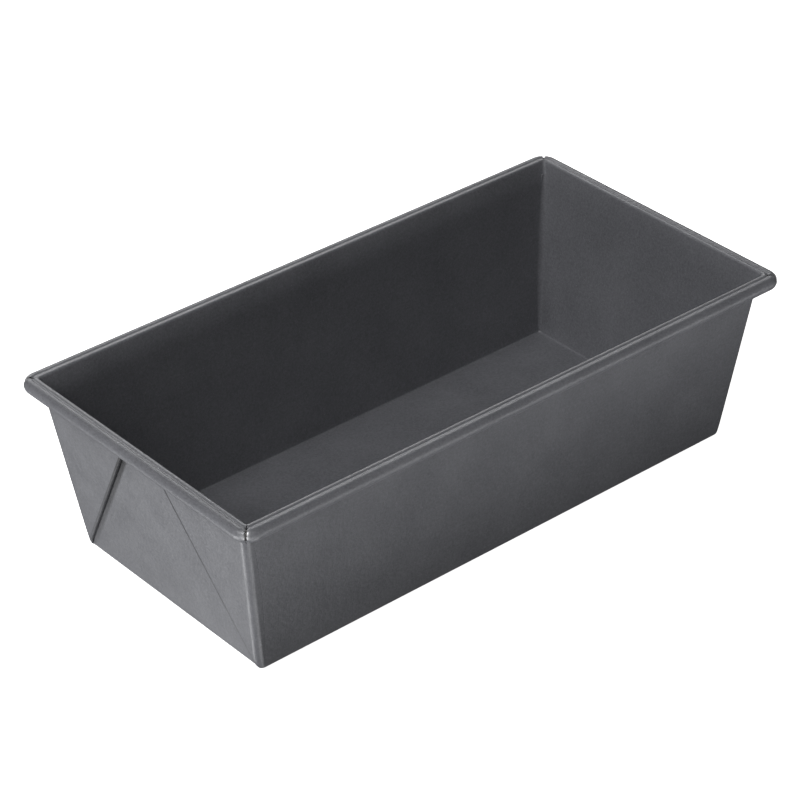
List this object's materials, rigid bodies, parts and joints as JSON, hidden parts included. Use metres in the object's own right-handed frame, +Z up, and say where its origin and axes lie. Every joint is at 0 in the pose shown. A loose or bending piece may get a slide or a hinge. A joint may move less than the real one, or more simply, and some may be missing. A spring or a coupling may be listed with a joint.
{
  "type": "loaf pan",
  "caption": "Rectangular folded loaf pan with leaning walls, pleated end walls and a wire-reinforced rolled rim.",
  "frame": {"origin": "middle of the flat underside, on the surface that the pan stands on", "axes": "+X along the length of the pan, +Y across it, +Z up out of the open top"},
  "size_m": [0.2702, 0.1402, 0.076],
  "materials": {
    "coated_sheet": "satin dark grey non-stick coating with a fine metallic grain",
    "wire_steel": "drawn wire, darkened by oil and heat"
  },
  "bodies": {
    "root": {"pan_sheet": "coated_sheet", "rim_wire": "wire_steel"}
  },
  "joints": []
}
